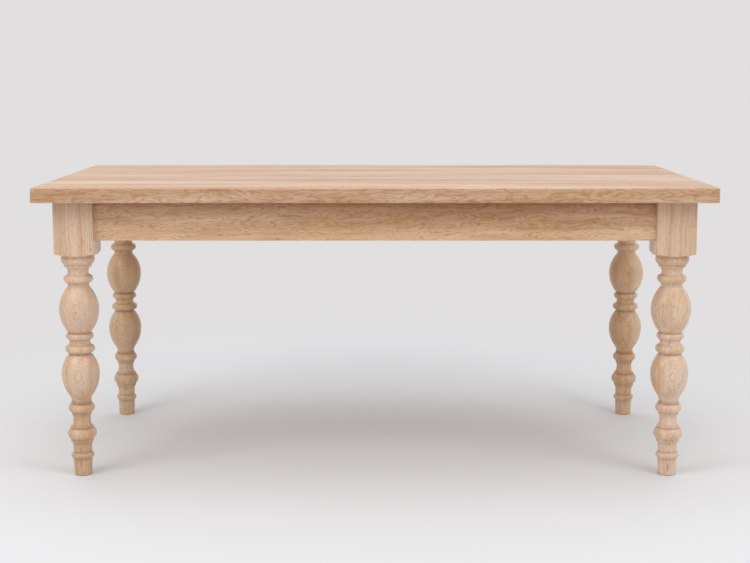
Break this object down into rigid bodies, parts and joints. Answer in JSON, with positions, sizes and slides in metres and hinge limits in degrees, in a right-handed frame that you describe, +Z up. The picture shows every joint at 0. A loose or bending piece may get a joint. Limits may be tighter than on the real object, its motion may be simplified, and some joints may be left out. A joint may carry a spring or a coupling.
{
  "type": "farmhouse dining table",
  "caption": "Rectangular oak farmhouse table: a thick plank top on a joined apron frame, carried by stout turned legs with square heads, rings and vases.",
  "frame": {"origin": "on the floor under the middle of the top", "axes": "+X along the top's length, -Y towards the front in the picture, +Z up"},
  "size_m": [1.7, 0.85, 0.75],
  "materials": {
    "oak_top": "pale natural oak boards, matte oil",
    "oak_legs": "pale natural oak, turned and matte oiled",
    "oak_aprons": "natural oak, planed and matte oiled",
    "frame_timber": "unfinished hidden hardwood",
    "screw_steel": "zinc-plated steel"
  },
  "bodies": {
    "root": {"apron_back": "oak_aprons", "apron_front": "oak_aprons", "apron_left": "oak_aprons", "apron_right": "oak_aprons", "board_tongue_1": "frame_timber", "board_tongue_2": "frame_timber", "board_tongue_3": "frame_timber", "brace_screws": "screw_steel", "button_screws": "screw_steel", "corner_brace_back_left": "frame_timber", "corner_brace_back_right": "frame_timber", "corner_brace_front_left": "frame_timber", "corner_brace_front_right": "frame_timber", "cross_rail_left": "frame_timber", "cross_rail_right": "frame_timber", "leg_back_left": "oak_legs", "leg_back_right": "oak_legs", "leg_front_left": "oak_legs", "leg_front_right": "oak_legs", "rail_screws": "screw_steel", "top_board_1": "oak_top", "top_board_2": "oak_top", "top_board_3": "oak_top", "top_board_4": "oak_top", "top_button_back_1": "frame_timber", "top_button_back_2": "frame_timber", "top_button_back_3": "frame_timber", "top_button_back_4": "frame_timber", "top_button_front_1": "frame_timber", "top_button_front_2": "frame_timber", "top_button_front_3": "frame_timber", "top_button_front_4": "frame_timber", "top_button_left_1": "frame_timber", "top_button_left_2": "frame_timber", "top_button_right_1": "frame_timber", "top_button_right_2": "frame_timber"}
  },
  "joints": []
}
